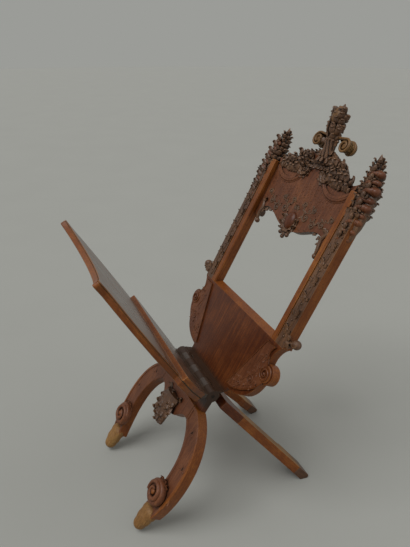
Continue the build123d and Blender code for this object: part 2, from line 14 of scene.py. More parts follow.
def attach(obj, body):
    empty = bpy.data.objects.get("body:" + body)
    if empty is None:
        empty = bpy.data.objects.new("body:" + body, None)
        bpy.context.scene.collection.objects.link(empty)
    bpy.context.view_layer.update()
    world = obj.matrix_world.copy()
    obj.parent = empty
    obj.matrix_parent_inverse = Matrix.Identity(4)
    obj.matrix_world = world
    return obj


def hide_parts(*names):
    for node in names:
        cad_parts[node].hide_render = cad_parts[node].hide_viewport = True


bl_info = {
    "name": "Carved Folding Chair",
    "version": (1, 0, 0),
    "blender": (4, 5, 0),
    "location": "View3D > Sidebar > Folding Chair",
    "description": "Dresses a folding plank chair in carved walnut",
    "category": "Add Mesh",
}

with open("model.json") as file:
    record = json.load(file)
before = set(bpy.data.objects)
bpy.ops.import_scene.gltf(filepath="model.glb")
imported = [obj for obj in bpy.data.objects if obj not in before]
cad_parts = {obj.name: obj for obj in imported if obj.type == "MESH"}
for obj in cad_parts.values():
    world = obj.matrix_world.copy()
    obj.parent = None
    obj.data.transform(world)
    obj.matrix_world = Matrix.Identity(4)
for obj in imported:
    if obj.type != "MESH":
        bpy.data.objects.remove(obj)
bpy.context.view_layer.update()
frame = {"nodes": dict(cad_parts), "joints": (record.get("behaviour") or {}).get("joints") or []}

MM = 0.001
HINGE = Vector(frame["joints"][0]["pos_m"])
WELD = 0.01                       # mm, corners nearer than this are one corner
FLAT = math.radians(0.5)          # faces that meet flatter than this are one face
SHARP = math.radians(28)          # edges sharper than this are rounded over
CREASE = math.radians(50)         # edges sharper than this stay crisp when shaded
PLAIN = 4e-4                      # m2, many-sided faces larger than this are shaded flat
SIDES = ((1, "right"), (-1, "left"))
OUT = Vector((0, 0, 1))
STRAIGHT = 0.55                   # share of a leaf's length that rises before its tip rolls over
BAND = 0.37                       # share of a stile's width that its plain inner band takes
COMB_EDGE = 44.0                  # mm up the slope, where the knuckles end and the board begins


# ------------------------------------------------------------------ boards and measures
class Board:
    """A board's own frame in millimetres: X across the chair, Y along its slope, Z out of it."""

    def __init__(self, name, tilt, body):
        self.name = name
        self.body = body
        self.tilt = math.radians(tilt)
        turn = Matrix.Rotation(self.tilt, 4, "X")
        self.place = Matrix.Translation(HINGE) @ turn @ Matrix.Scale(MM, 4)

    def corners(self, node):
        """Corners of a node of the frame, in this board's millimetres."""
        back = self.place.inverted()
        return [back @ vert.co for vert in frame["nodes"][node].data.vertices]

    def extent(self, node):
        """Lowest and highest corner of a node."""
        ranges = list(zip(*self.corners(node)))
        return [Vector([end(values) for values in ranges]) for end in (min, max)]

    def tip(self, node, axis):
        """Middle of a node's far end along an axis of the board."""
        points = self.corners(node)
        far = max(point[axis] for point in points)
        ends = [point for point in points if point[axis] > far - 1]
        return sum(ends, Vector()) / len(ends)


BACK = Board("back", 61.5, "back_frame")
FRONT = Board("front", 56.0, "back_frame")
SEAT = Board("seat", 180 - 59.2, "seat_frame")
REAR = Board("rear", -50.8, "seat_frame")


def linear(code):
    """Scene-linear colour, with alpha, of an sRGB hex code."""
    parts = [int(code[i:i + 2], 16) / 255 for i in (1, 3, 5)]
    curve = [c / 12.92 if c <= 0.04045 else ((c + 0.055) / 1.055) ** 2.4 for c in parts]
    return (*curve, 1.0)


def mix(a, b, share):
    """Value that lies that share of the way from a to b."""
    return a + (b - a) * share


def shares(count):
    """That many even steps from 0 to 1."""
    return [index / (count - 1) for index in range(count)]


def compass(degrees, rise=0.0):
    """Direction at that bearing across the board, tilted out of it by rise."""
    bearing = math.radians(degrees)
    return Vector((math.cos(bearing), math.sin(bearing), rise))


def spiral(centre, outer, inner, turns, start, height=0.0):
    """Route that winds in from its outer to its inner radius, from that bearing in degrees."""
    def route(t):
        step = mix(outer, inner, t) * compass(start + 360 * turns * t)
        return Vector(centre) + step + height * t * OUT
    return route


def through(*points):
    """Smooth route through a few points, as a Catmull-Rom curve."""
    knots = [Vector(p) for p in points]
    knots = [2 * knots[0] - knots[1], *knots, 2 * knots[-1] - knots[-2]]
    spans = len(knots) - 3

    def route(t):
        index = min(int(t * spans), spans - 1)
        s = t * spans - index
        a, b, c, d = knots[index:index + 4]
        bend = 2 * a - 5 * b + 4 * c - d
        sweep = 3 * b - a - 3 * c + d
        return 0.5 * (2 * b + (c - a) * s + bend * s * s + sweep * s ** 3)
    return route


def along(t, *stops):
    """Value read off the straight lines between (place, value) stops."""
    for (start, first), (end, last) in zip(stops, stops[1:]):
        if t <= end:
            return mix(first, last, (t - start) / (end - start))
    return stops[-1][1]


def taper(full, foot=0.5, tip=0.35):
    """Radius that swells from a share at the foot to the full size, and thins to its tip."""
    return lambda t: full * min(mix(foot, 1.0, t * 4), 1.0, mix(tip, 1.0, (1 - t) * 2.2))


def rolled(u, length, arch, curl):
    """How far along and how high a leaf's midrib is: it rises, then its tip rolls over."""
    reach = min(u, STRAIGHT)
    x = length * reach
    z = arch * length * math.sin(math.pi / 2 * reach / STRAIGHT)
    if u > STRAIGHT:
        bend = curl * (u - STRAIGHT) / (1 - STRAIGHT)
        radius = length * (1 - STRAIGHT) / max(curl, 0.01)
        x += radius * math.sin(bend)
        z += radius * (1 - math.cos(bend))
    return x, z


def laid(foot, heading, up):
    """Frame of a leaf: its X onward, its Y aside, its Z up."""
    forward = Vector(heading).normalized()
    side = Vector(up).cross(forward).normalized()
    lay = Matrix((forward, side, forward.cross(side))).transposed().to_4x4()
    lay.translation = Vector(foot)
    return lay


def touching(verts, kind):
    """Edges or faces at those corners, each once."""
    return list(dict.fromkeys(item for vert in verts for item in getattr(vert, kind)))


# ------------------------------------------------------------------ carving
class Carving:
    """A piece in the making, in its board's frame."""

    def __init__(self, board, node=None, rounding=0.0, segments=2, beyond=-1000.0):
        """Empty, or the solid of a node, worked only up the slope from beyond."""
        self.board = board
        self.bm = bmesh.new()
        if node:
            self.copy(node, beyond)
        if rounding:
            self.bevel([
                edge for edge in self.bm.edges
                if len(edge.link_faces) == 2 and edge.calc_face_angle(0) > SHARP
                and min(vert.co.y for vert in edge.verts) > beyond
            ], rounding, segments)

    def copy(self, node, beyond):
        """Starts from the solid of a node: welds its corners, makes its flat stretches one face."""
        bm = self.bm
        bm.from_mesh(frame["nodes"][node].data)
        bmesh.ops.transform(bm, matrix=self.board.place.inverted(), verts=bm.verts)
        bmesh.ops.remove_doubles(bm, verts=bm.verts, dist=WELD)
        bmesh.ops.dissolve_limit(
            bm, angle_limit=FLAT,
            verts=[vert for vert in bm.verts if vert.co.y > beyond],
            edges=[edge for edge in bm.edges if min(vert.co.y for vert in edge.verts) > beyond],
        )
        self.stain(bm.faces, 0)

    def bevel(self, edges, width, segments=2):
        """Rounds edges over, as a plane and years of hands do."""
        bmesh.ops.bevel(
            self.bm, geom=edges, offset=width, segments=segments, profile=0.5, affect="EDGES",
            clamp_overlap=True, material=-1,
        )

    def cut(self, spot, across, clear=False):
        """Cuts every face where a plane crosses it, and may clear what lies behind the plane."""
        bmesh.ops.bisect_plane(
            self.bm, geom=self.bm.verts[:] + self.bm.edges[:] + self.bm.faces[:],
            plane_co=spot, plane_no=across, clear_inner=clear,
        )

    def face_at(self, height):
        """Largest flat face that looks out at that height above the board's own plane."""
        return max((
            face for face in self.bm.faces
            if face.normal.z > 0.99 and abs(face.calc_center_median().z - height) < 0.5
        ), key=lambda face: face.calc_area())

    @staticmethod
    def stain(faces, finish):
        """Gives faces the finish at that place in the piece's list."""
        for face in faces:
            face.material_index = finish

    def mould(self, faces, steps, finish):
        """Works a moulding into flat faces: each step is how far in it goes, and how deep."""
        for inwards, depth in steps:
            bmesh.ops.inset_region(
                self.bm, faces=faces, thickness=inwards, depth=depth, use_boundary=True,
            )
        self.stain(faces, finish)

    def sheet(self, columns, rows, place, finish=0):
        """Grid of that many cells, its corners moved to place(u, v), with u and v from 0 to 1."""
        made = bmesh.ops.create_grid(self.bm, x_segments=columns, y_segments=rows, size=1.0)
        for vert in made["verts"]:
            vert.co = place((vert.co.x + 1) / 2, (vert.co.y + 1) / 2)
        faces = touching(made["verts"], "link_faces")
        self.stain(faces, finish)
        return faces

    def leaf(self, foot, heading, length=30.0, width=18.0, lobes=3, curl=1.1, arch=0.1, thick=3.0,
             finish=0):
        """Carved leaf: lobed edges, sunk midrib, raised veins; its tip rolls up by curl radians."""
        lay = laid(foot, heading, OUT)

        def place(u, v):
            across = 2 * v - 1
            full = max(math.sin(math.pi * u ** 0.75), 0.0) ** 0.6
            lobed = 0.68 + 0.32 * abs(math.cos(lobes * math.pi * u))
            stalk = mix(0.3, 0.04, u)
            x, z = rolled(u, length, arch, curl)
            sweep = 0.14 * length * abs(across) * (1 - u)
            rib = -0.07 * width * math.exp(-(across / 0.22) ** 2)
            vein = 0.05 * width * abs(across) * math.cos(2 * lobes * math.pi * u)
            drop = -0.1 * width * across ** 2
            return lay @ Vector((
                x + sweep, width / 2 * max(full * lobed, stalk) * across, z + rib + vein + drop))

        bmesh.ops.solidify(self.bm, geom=self.sheet(4 * lobes, 6, place, finish), thickness=thick)

    def petal(self, foot, heading, length, width, curl=2.6, finish=0, up=OUT):
        """Plump leaf, worn smooth, whose tip rolls over by curl radians."""
        lay = laid(foot, heading, up)

        def route(t):
            x, z = rolled(t, length, 0.16, curl)
            return lay @ Vector((x, 0, z))

        def radius(t):
            return width / 2 * max(max(math.sin(math.pi * t ** 0.8), 0.0) ** 0.5, 0.35 - t)

        self.tube(route, radius, 10, 8, 0.5, finish, lay.to_3x3() @ Vector((0, 1, 0)))

    def tube(self, route, radius, steps=24, sides=8, squash=1.0, finish=0, aside=None):
        """Closed round bar along route(t), of radius(t), drawn to a point at both ends."""
        near = 0.5 / steps

        def place(u, v):
            ahead = Vector(route(min(u + near, 1))) - Vector(route(max(u - near, 0)))
            ahead.normalize()
            side = aside or OUT.cross(ahead).normalized()
            size = radius(u) if near / 2 < u < 1 - near / 2 else 0.0
            bearing = 2 * math.pi * v
            ring = math.cos(bearing) * side + squash * math.sin(bearing) * ahead.cross(side)
            return Vector(route(u)) + size * ring

        self.sheet(steps, sides, place, finish)

    def ribbon(self, route, breadth, thick, steps):
        """Strip of wood bent along route(t), of breadth(t), with an even thickness."""
        def place(u, v):
            return Vector(route(u)) + (v - 0.5) * breadth(u) * OUT

        bmesh.ops.solidify(self.bm, geom=self.sheet(steps, 4, place), thickness=thick)

    def ball(self, centre, radius, stretch=(1, 1, 1), finish=0):
        """Round knob, stretched along the board's own axes."""
        made = bmesh.ops.create_icosphere(
            self.bm, subdivisions=3 if radius * max(stretch) > 5 else 2, radius=radius,
            matrix=Matrix.Translation(Vector(centre)) @ Matrix.Diagonal((*stretch, 1)),
        )
        self.stain(touching(made["verts"], "link_faces"), finish)

    def block(self, low, high, rounding, finish=0):
        """Squared piece of wood between two corners, its edges rounded."""
        low, high = Vector(low), Vector(high)
        shape = Matrix.Translation((low + high) / 2) @ Matrix.Diagonal((*(high - low), 1))
        made = bmesh.ops.create_cube(self.bm, size=1.0, matrix=shape)
        self.stain(touching(made["verts"], "link_faces"), finish)
        self.bevel(touching(made["verts"], "link_edges"), rounding)

    def lathe(self, profile, centre, steps):
        """Turned shape that faces out: profile holds (radius, height) from pole to pole."""
        verts = [self.bm.verts.new(centre + Vector((radius, 0, height)))
                 for radius, height in profile]
        edges = [self.bm.edges.new(pair) for pair in zip(verts, verts[1:])]
        bmesh.ops.spin(
            self.bm, geom=verts + edges, cent=centre, axis=OUT, angle=2 * math.pi, steps=steps,
            use_merge=True,
        )

    def crockets(self, spine, girth, rows, pitch, size, depth, curl, behind=1.0):
        """Rings of small rolled leaves round a core, no two alike, set between those below."""
        hand_cut = random.Random(rows)
        fullest = max(girth(row / rows) for row in range(rows))
        for row in range(rows):
            share = 0.9 * row / rows
            foot = spine(share)
            onward = (spine(min(share + 0.06, 1.0)) - foot).normalized()
            radius = girth(share)
            thinned = mix(0.5, 1.0, radius / fullest)
            around = max(4, round(2 * math.pi * radius / pitch))
            for index in range(around):
                bearing = 2 * math.pi * (index + 0.5 * (row % 2)) / around
                bearing += hand_cut.uniform(-0.15, 0.15)
                outward = Vector((math.cos(bearing), 0, depth * math.sin(bearing)))
                aside = hand_cut.uniform(-0.3, 0.3) * onward.cross(outward)
                full = behind if outward.z < -0.25 * depth else 1.0
                self.petal(foot + outward * radius * 0.92, onward + 0.15 * outward + aside,
                           size * full * thinned * hand_cut.uniform(0.8, 1.15),
                           pitch * thinned * hand_cut.uniform(0.9, 1.25),
                           curl * hand_cut.uniform(0.85, 1.1), up=outward)

    def scroll(self, centre, radius, start, hand, turns, line, leaves, finish=0):
        """Scroll of a vine: it winds in to its eye, and leaves grow from its outer side."""
        route = spiral(centre, radius, radius * 0.2, turns * hand, start)
        self.tube(route, taper(line), int(22 * turns), 6, 0.9, finish)
        self.ball(centre, radius * 0.2 + 1, (1, 1, 0.8), finish)
        for index in range(leaves):
            share = 0.3 * index / leaves
            outward = compass(start + 360 * turns * hand * share)
            onward = Vector((-outward.y, outward.x, 0)) * hand
            self.leaf(route(share) - outward, onward + 0.8 * outward, radius * 1.15,
                      radius * 0.6, 2, 0.9, 0.08, 2.0, finish)

    def mark(self):
        """Marks the corners there are by now, so that later ones can be told from them."""
        layer = self.bm.verts.layers.int.new("plain")
        for vert in self.bm.verts:
            vert[layer] = 1

    def mirror(self):
        """Adds the mirror image of what was carved since the mark."""
        layer = self.bm.verts.layers.int["plain"]
        verts = [vert for vert in self.bm.verts if not vert[layer]]
        geom = verts + touching(verts, "link_edges") + touching(verts, "link_faces")
        twin = bmesh.ops.duplicate(self.bm, geom=geom)
        moved = [item for item in twin["geom"] if isinstance(item, bmesh.types.BMVert)]
        bmesh.ops.scale(self.bm, vec=(-1, 1, 1), verts=moved)

    def paint(self, finish, chosen):
        """Gives another finish to the faces that chosen(centre, normal) picks."""
        self.bm.normal_update()
        self.stain([face for face in self.bm.faces
                     if chosen(face.calc_center_median(), face.normal)], finish)

    def show(self, node, finishes, ending="carved", slot="carved_walnut", side=1):
        """Makes the piece that takes a node's place and rides on its board's body."""
        name = f"{node}_{ending}"
        body = self.board.body
        replaces = [node]
        bm = self.bm.copy()
        bmesh.ops.scale(bm, vec=(side, 1, 1), verts=bm.verts)
        bmesh.ops.remove_doubles(bm, verts=bm.verts, dist=WELD)
        bmesh.ops.transform(bm, matrix=self.board.place, verts=bm.verts)
        bmesh.ops.recalc_face_normals(bm, faces=bm.faces)
        for face in bm.faces:
            face.smooth = len(face.verts) <= 6 or face.calc_area() < PLAIN
        for edge in bm.edges:
            edge.smooth = len(edge.link_faces) == 2 and edge.calc_face_angle(0) < CREASE
        mesh = bpy.data.meshes.new(name)
        bm.to_mesh(mesh)
        bm.free()
        for layer in ("custom_normal", "plain"):
            if layer in mesh.attributes:
                mesh.attributes.remove(mesh.attributes[layer])
        for finish in finishes.split():
            mesh.materials.append(walnut(finish, self.board))
        piece = bpy.data.objects.new(name, mesh)
        bpy.context.scene.collection.objects.link(piece)
        even = piece.modifiers.new("Even shading", "WEIGHTED_NORMAL")
        even.keep_sharp = True
        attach(piece, body)
        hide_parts(*replaces)
        return piece

    def show_pair(self, node, *looks):
        """Makes the piece on the right, and its mirror image on the left."""
        return [self.show(f"{word}_{node}", *looks, side=side) for side, word in SIDES]


# ------------------------------------------------------------------ materials
def add_node(tree, kind, sockets=(), out=0, stops=(), **settings):
    """Adds a node with its settings, ramp stops, and values or links of its sockets, by name or in
    order, and gives one of its outputs."""
    made = tree.nodes.new("ShaderNode" + kind)
    for name, value in settings.items():
        setattr(made, name, value)
    if stops:
        ramp = made.color_ramp
        while len(ramp.elements) < len(stops):
            ramp.elements.new(1.0)
        for element, (position, colour) in zip(ramp.elements, stops):
            element.position = position
            element.color = linear(colour)
    for name, value in sockets.items() if isinstance(sockets, dict) else enumerate(sockets):
        if isinstance(value, bpy.types.NodeSocket):
            tree.links.new(value, made.inputs[name])
        else:
            made.inputs[name].default_value = value
    return made.outputs[out] if made.outputs else None


def cleared(owner):
    """Function that adds nodes to the emptied tree of a material or world."""
    owner.use_nodes = True
    owner.node_tree.nodes.clear()
    return partial(add_node, owner.node_tree)


# Each walnut finish: tones from pores to highest grain, then the painted shade in the recesses,
# rubbed edges, how much of each shows, roughness, shine under a dry old wax, depth of the tool
# marks in mm, and the darkening at the comb.
# Carved: cut with gouges, stained near black-brown and waxed; high points rubbed to grey-brown.
# Reddish: low carving under the same red-brown polish as the boards.
# Polished: planed boards with a deep red-brown polish, which shines softly along the grain.
# Waxed: the seat's board, under a harder, shinier wax; tones greyed as a painted reflection.
# Rubbed: plain bands and edges that hands and cloths have worn down to orange-brown.
# Tawny: rolls of the crest, rubbed golden brown.
# Near black: the thin middle leaves of the front legs' sprays, which draw narrow cuts.
# Worn: bare wood of feet and rear legs, scuffed pale ochre and grey.
Finish = namedtuple(
    "Finish", "pore dark mid light soot edge sooting rubbing rough shine marks comb")
FINISHES = {name: Finish(*tones.split(), *amounts) for name, tones, *amounts in (
    ("carved", "#1a0e07 #382312 #523520 #735033 #090502 #96704b", 1.0, 0.35, 0.42, 0.5, 0.3, 0),
    ("reddish", "#260f05 #472411 #613720 #7d4d2e #120602 #86552f", 0.9, 0.25, 0.45, 0.3, 0.15, 0),
    ("polished", "#230c03 #3b1605 #52270d #703c18 #160702 #8c5a2c", 0.6, 0.5, 0.4, 0.3, 0.06, 1),
    # waxed tones are greyed and paled as a painted reflection of the pale room; its higher shine is
    # real
    ("waxed", "#2a170d #432a1c #5c4030 #7c5f4a #160802 #9a7450", 0.6, 0.5, 0.3, 0.7, 0.05, 1),
    ("rubbed", "#381704 #55290b #713c13 #8f5620 #200d03 #ad7636", 0.75, 0.6, 0.42, 0.3, 0.1, 0),
    ("tawny", "#321b0c #4a2f17 #654522 #866237 #170b04 #a07c48", 0.9, 0.5, 0.45, 0.35, 0.15, 0),
    ("sooted", "#080402 #160c07 #22150d #302016 #060302 #4a3322", 0.9, 0.1, 0.6, 0.2, 0.2, 0),
    ("worn", "#3a2210 #60401f #7e5a31 #9c7a48 #1f1206 #b28d58", 0.75, 0.6, 0.55, 0.25, 0.18, 0),
)}
GRAIN = (3.2, 90.0)               # mm, walnut's streaks across the board and along it
PORES = (0.5, 7.0)                # mm, drawn a little coarser than real pores, which wouldn't show
PATCH = 70.0                      # mm, uneven stain and polish
GOUGE = 4.0                       # mm, width of a small gouge's cut
PAINTED_SHADE_REACH = 14.0                 # mm, how far from a hollow's bottom the painted shade reaches
EDGE_REACH = 1.6                  # mm, width of a rubbed edge
COMB_REACH = 30.0                 # mm from the hinge line, within which the knuckles are drawn darker grey
COMB_GREY = "#2e241b"


def walnut(finish, board):
    """Walnut with that finish, its grain along the board's slope."""
    name = f"walnut_{finish}_{board.name}"
    material = bpy.data.materials.get(name)
    if material:
        return material
    material = bpy.data.materials.new(name)
    node = cleared(material)
    look = FINISHES[finish]
    spot = node("TexCoord", out="Object")
    turned = node("Mapping", {"Vector": spot, "Rotation": (-board.tilt, 0, 0)})

    def streaks(width, length, detail):
        scale = (1 / (width * MM), 1 / (length * MM), 1 / (width * MM))
        return node("TexNoise", {
            "Vector": node("Mapping", {"Vector": turned, "Scale": scale}),
            "Scale": 1.0, "Detail": detail, "Roughness": 0.6, "Distortion": 0.4,
        })

    def sum_of(*parts):
        return node("Math", [node("Math", part, operation="MULTIPLY") for part in parts],
                    operation="ADD")

    grain = streaks(*GRAIN, 5.0)
    pores = streaks(*PORES, 2.0)
    patches, cuts = (
        node("TexNoise", {
            "Vector": turned, "Scale": 1 / (size * MM), "Detail": detail, "Roughness": rough,
        }) for size, detail, rough in ((PATCH, 3.0, 0.55), (GOUGE, 2.0, 0.5))
    )
    wood = node("ValToRGB", (sum_of((grain, 0.6), (patches, 0.4)),),
                stops=((0.30, look.dark), (0.5, look.mid), (0.68, look.light)))
    pored = node("MapRange", (pores, 0.36, 0.46, 0.75, 0.0))
    # painted shade: ambient occlusion darkens the colour towards the bottoms of hollows and creases
    open_air = node("AmbientOcclusion", {"Distance": PAINTED_SHADE_REACH * MM}, "AO", samples=6)
    painted_shade = node("MapRange", (open_air, 0.25, 0.8, look.sooting, 0.0))
    turn = node("VectorMath", (
        node("Bevel", {"Radius": EDGE_REACH * MM}, samples=4),
        node("NewGeometry", out="True Normal"),
    ), "Value", operation="DOT_PRODUCT")
    bared = node("MapRange", (turn, 0.995, 0.86, 0.0, look.rubbing))
    for share in (node("Math", (patches, 1.8), operation="MULTIPLY"),
                  node("Math", (1.0, painted_shade), operation="SUBTRACT")):
        bared = node("Math", (bared, share), operation="MULTIPLY", use_clamp=True)
    coats = [(pored, look.pore), (painted_shade, look.soot), (bared, look.edge)]
    # the knuckles turn darker grey near the hinge line
    if look.comb:
        away = node("VectorMath", (spot, HINGE[:]), operation="SUBTRACT")
        away = node("VectorMath", (away, (0, 1, 1)), operation="MULTIPLY")
        away = node("VectorMath", (away,), "Value", operation="LENGTH")
        reach = COMB_REACH * MM
        greyed = node("MapRange", (away, reach, 1.4 * reach, 0.8 * look.comb, 0.0))
        coats.append((greyed, COMB_GREY))
    for share, tone in coats:
        wood = node("Mix", {0: share, 6: wood, 7: linear(tone)}, 2, data_type="RGBA")

    relief = node("Math", (
        sum_of((grain, 0.25), (cuts, 0.75)), node("Math", (pored, 0.3), operation="MULTIPLY"),
    ), operation="SUBTRACT")
    dulled = node("MapRange", (sum_of((patches, 0.5), (painted_shade, 0.5)), 0.15, 0.6,
                               look.rough - 0.06, look.rough + 0.16))
    bump = node("Bump", {"Height": relief, "Strength": 1.0, "Distance": look.marks * MM})
    shader = node("BsdfPrincipled", {
        "Base Color": wood, "Roughness": dulled, "Normal": bump, "IOR": 1.5,
        "Specular IOR Level": look.shine,
    })
    node("OutputMaterial", (shader,))
    return material


def wrought_iron():
    """Hand-forged iron rod, oxidised near black with a trace of rust, which dulls its shine."""
    material = bpy.data.materials.new("wrought_iron_pin")
    node = cleared(material)
    scale = node("TexNoise", {
        "Vector": node("TexCoord", out="Object"), "Scale": 400.0, "Detail": 4.0,
    })
    tones = node("ValToRGB", (scale,),
                 stops=((0.35, "#1a1715"), (0.6, "#3a322d"), (0.75, "#5a3a26")))
    bump = node("Bump", {"Height": scale, "Distance": 0.15 * MM})
    shader = node("BsdfPrincipled", {
        "Base Color": tones, "Metallic": 0.85, "Roughness": 0.55, "Normal": bump,
    })
    node("OutputMaterial", (shader,))
    return material


def studio_cloth(colour):
    """Plain pale studio cloth, woven too fine to show, which scatters light evenly."""
    material = bpy.data.materials.new("studio_cloth")
    node = cleared(material)
    folds = node("TexNoise", {
        "Vector": node("TexCoord", out="Object"), "Scale": 2.5, "Detail": 2.0,
    })
    shade = node("MapRange", {"Value": folds, "To Min": 0.97, "To Max": 1.03})
    tint = node("VectorMath", {0: tuple(colour)[:3], "Scale": shade}, operation="SCALE")
    shader = node("BsdfPrincipled", {"Base Color": tint, "Roughness": 0.95})
    node("OutputMaterial", (shader,))
    return material


# ------------------------------------------------------------------ settings
def length_setting(name, description, default, least):
    """Setting that holds a length, in metres."""
    return bpy.props.FloatProperty(
        name=name, description=description, default=default, min=least, unit="LENGTH")


def colour_setting(name, description, code):
    """Setting that holds a colour, given as an sRGB hex code."""
    return bpy.props.FloatVectorProperty(
        name=name, description=description, default=linear(code), subtype="COLOR", size=4,
        min=0, max=1)


class ChairSizes(bpy.types.PropertyGroup):
    """Sizes of the carving."""

    edge_round: length_setting("Edge rounding", "Rounding of the boards' edges", 0.002, 0.0002)
    vine_pitch: length_setting("Vine pitch", "Distance between a stile's sprays", 0.042, 0.02)
    leaf_length: length_setting("Leaf length", "Length of a leaf of the crest", 0.034, 0.01)
    leaf_thickness: length_setting("Leaf thickness", "Thickness of a carved leaf", 0.003, 0.001)
    scroll_line: length_setting("Scroll line", "Half the width of a scroll line", 0.0024, 0.0005)


class ChairStage(bpy.types.PropertyGroup):
    """Colours of the stage and the level of its light."""

    floor_colour: colour_setting("Floor", "Colour of the floor", "#949590")
    wall_colour: colour_setting("Background", "Colour behind the chair", "#9b9c98")
    key_strength: bpy.props.FloatProperty(
        name="Key light", description="Strength of the large soft lamp", default=1.7, min=0)
    sky_light: bpy.props.FloatProperty(
        name="Sky light", description="Strength of the even light from all round",
        default=0.5, min=0)


# ------------------------------------------------------------------ pieces
# Sizes are in mm. After its foot and heading, a leaf's numbers are length, width, lobes, curl,
# arch, thickness and finish, and a petal's are length, width and curl. After its route and radius,
# a tube's are steps, sides, squash and finish. A finish is a place in the piece's list of finishes.
class CHAIR_OT_lower_panel(bpy.types.Operator):
    """Polished shield of the back, with its knuckles and its two carved borders"""

    bl_idname = "chair.lower_panel"
    bl_label = "Lower panel"

    def execute(self, context):
        sizes = context.scene.chair_sizes
        line = sizes.scroll_line / MM
        low, high = BACK.extent("right_panel_border")
        panel = Carving(BACK, "lower_panel", sizes.edge_round / MM, beyond=COMB_EDGE)
        panel.paint(1, lambda centre, normal: normal.z < 0.5 and centre.y > COMB_EDGE)
        panel.mark()
        tip = BACK.tip("lower_panel", 0)
        lobe = Vector((tip.x - 25, tip.y, low.z))
        panel.lathe(((0, -1), (20, -1), (21, 1.5), (19, 3.5), (0, 2.5)), lobe, 36)
        panel.tube(spiral(lobe + 3 * OUT, 18, 4, 1.7, 140, 1.5), taper(2.8, 0.8), 44)
        panel.ball(lobe + 3.5 * OUT, 4.5)
        panel.mirror()
        panel.show("lower_panel", "polished rubbed", "polished", "plank_walnut")

        sunk = 1.6
        border = Carving(BACK, "right_panel_border")
        border.mould([border.face_at(high.z)], ((3.2, 0.0), (1.2, -sunk)), 1)

        def spot(x, y):
            return Vector((mix(low.x, high.x, x), mix(low.y, high.y, y), high.z - sunk))

        for x, y, radius, start, hand, turns, weight in (
            (0.62, 0.36, 15, 30, -1, 1.6, 1.0), (0.34, 0.17, 11, 120, 1, 1.4, 0.9),
            (0.72, 0.80, 9, 250, 1, 1.4, 0.9),
        ):
            border.scroll(spot(x, y), radius, start, hand, turns, line * weight, 3, 1)
        stem = through(spot(0.75, 0.9), spot(0.60, 0.66), spot(0.66, 0.5), spot(0.45, 0.3),
                       spot(0.2, 0.08))
        border.tube(stem, taper(line * 0.8), 36, 6, 0.8, 1)
        for share in (0.12, 0.3, 0.46, 0.62, 0.8, 0.93):
            onward = stem(share + 0.05) - stem(share)
            aside = Vector((onward.y, -onward.x, 0))
            for hand in (-1, 1):
                border.leaf(stem(share), onward + aside * hand * 1.1, 15, 8, 2, 0.5, 0.05, 1.8, 1)
        border.show_pair("panel_border", "polished reddish")
        return {"FINISHED"}


class CHAIR_OT_stiles(bpy.types.Operator):
    """Posts of the back: a plain rubbed inner band and a carved vine on the outer one"""

    bl_idname = "chair.stiles"
    bl_label = "Stiles"

    def execute(self, context):
        sizes = context.scene.chair_sizes
        low, high = BACK.extent("right_stile")
        groove = mix(low.x, high.x, BAND)
        vine = mix(groove, high.x, 0.5)
        face = high.z
        post = Carving(BACK, "right_stile", sizes.edge_round / MM)
        post.cut((groove, 0, 0), (1, 0, 0))
        post.paint(1, lambda centre, normal: centre.x > groove and normal.z > 0.5)
        pitch = sizes.vine_pitch / MM
        count = int((high.y - low.y - 12) / pitch)
        start = mix(low.y, high.y, 0.5) - pitch * (count - 1) / 2
        wave = 4.5

        def stem(t):
            height = mix(low.y + 8, high.y - 8, t)
            swing = wave * math.sin(math.pi * (height - start) / pitch)
            return Vector((vine + swing, height, face + 0.2))

        post.tube(stem, lambda t: 1.7, 80, 6, finish=1)
        for index in range(count):
            height = start + pitch * index
            hand = 1 if index % 2 else -1
            foot = Vector((vine - 3 * hand, height - 14, face - 0.4))
            post.leaf(foot, (0.45 * hand, 1, 0.03), 30, 14, 3, 0.9, 0.12, 2.6, 1)
            for x, y, lean, rise, long in ((1, 2, 1.3, 0.8, 17), (-1, 4, -0.8, 1, 18)):
                post.leaf(foot + Vector((x * hand, y, 0)), (lean * hand, rise, 0.03),
                          long, 9, 2, 1.3, 0.15, 2.2, 1)
            post.ball(foot + Vector((2 * hand, -3, 0.8)), 2.8, finish=1)
            post.ball((vine + 9 * hand, height + pitch * 0.3, face), 2.2, finish=1)
        post.show_pair("stile", "rubbed carved")
        return {"FINISHED"}


